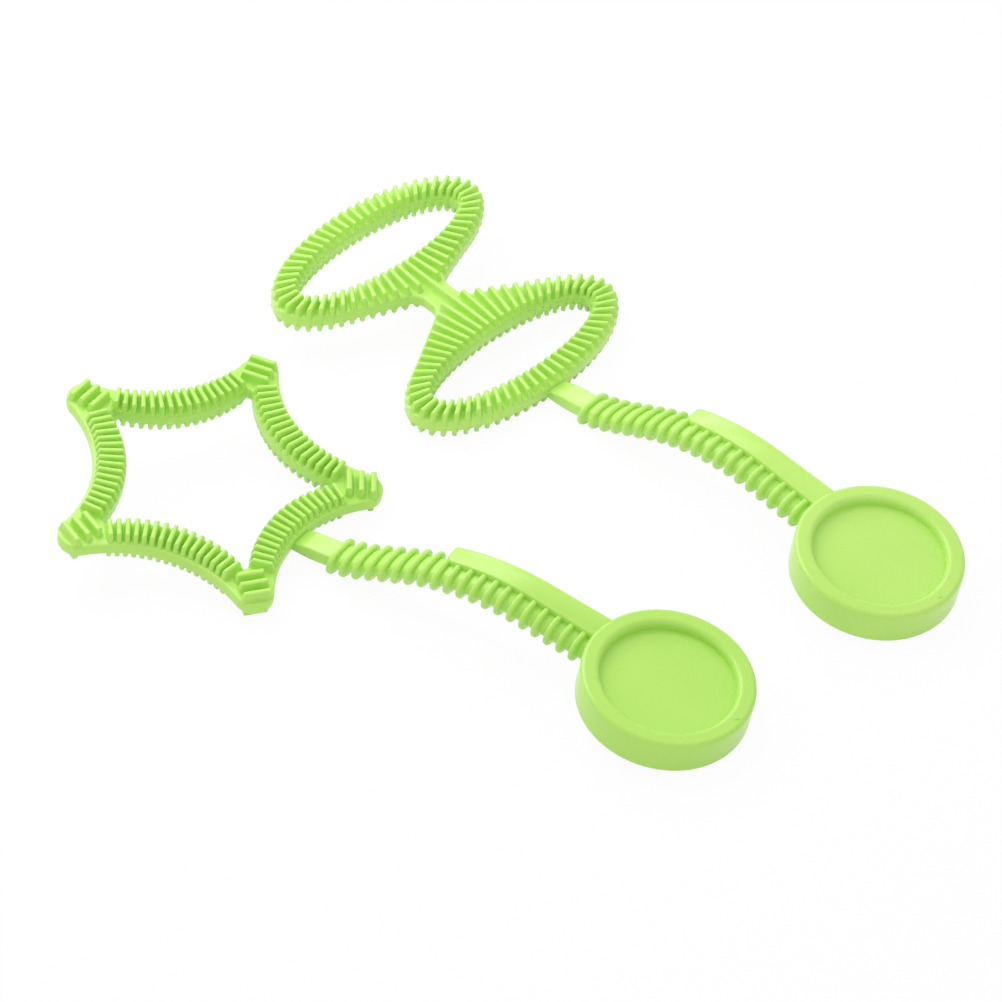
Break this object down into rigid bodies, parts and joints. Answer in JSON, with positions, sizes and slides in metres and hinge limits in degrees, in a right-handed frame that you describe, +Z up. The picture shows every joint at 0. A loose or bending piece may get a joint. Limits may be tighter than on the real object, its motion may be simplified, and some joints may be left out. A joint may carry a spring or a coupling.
{
  "type": "bubble wand",
  "caption": "Bubble dip wands with ribbed open heads, a star and a double oval, each on a cranked, finger-ribbed handle that ends in a round dish.",
  "frame": {"origin": "on the table, under the middle of the pair's bounding box", "axes": "+X along the star wand from its head to its dish as seen from above, +Z up from the table; each wand lies on its dish's outer edge and its head's ribs by the neck, so its own axis is tilted about 12 degrees"},
  "size_m": [0.2564, 0.2028, 0.0289],
  "materials": {
    "star_wand_plastic": "satin lime green, through-coloured, slightly translucent at thin edges",
    "loop_wand_plastic": "satin lime green, through-coloured, slightly translucent at thin edges"
  },
  "bodies": {
    "star_wand": {"star_frame": "star_wand_plastic", "star_top_ribs": "star_wand_plastic", "star_bottom_ribs": "star_wand_plastic", "star_foot_ribs": "star_wand_plastic", "star_neck": "star_wand_plastic", "star_grip_core": "star_wand_plastic", "star_grip_ribs": "star_wand_plastic", "star_grip_spine": "star_wand_plastic", "star_dish_rim": "star_wand_plastic", "star_dish_floor": "star_wand_plastic", "star_gate_mark": "star_wand_plastic"},
    "loop_wand": {"loop_far_oval": "loop_wand_plastic", "loop_near_oval": "loop_wand_plastic", "loop_waist": "loop_wand_plastic", "loop_top_ribs": "loop_wand_plastic", "loop_bottom_ribs": "loop_wand_plastic", "loop_foot_ribs": "loop_wand_plastic", "loop_neck": "loop_wand_plastic", "loop_grip_core": "loop_wand_plastic", "loop_grip_ribs": "loop_wand_plastic", "loop_grip_spine": "loop_wand_plastic", "loop_dish_rim": "loop_wand_plastic", "loop_dish_floor": "loop_wand_plastic", "loop_gate_mark": "loop_wand_plastic"}
  },
  "joints": [
    {"name": "loop_wand_lift", "type": "slide", "parent": "star_wand", "child": "loop_wand", "axis": [0, 0, 1], "range_m": [0, 0.15]}
  ]
}
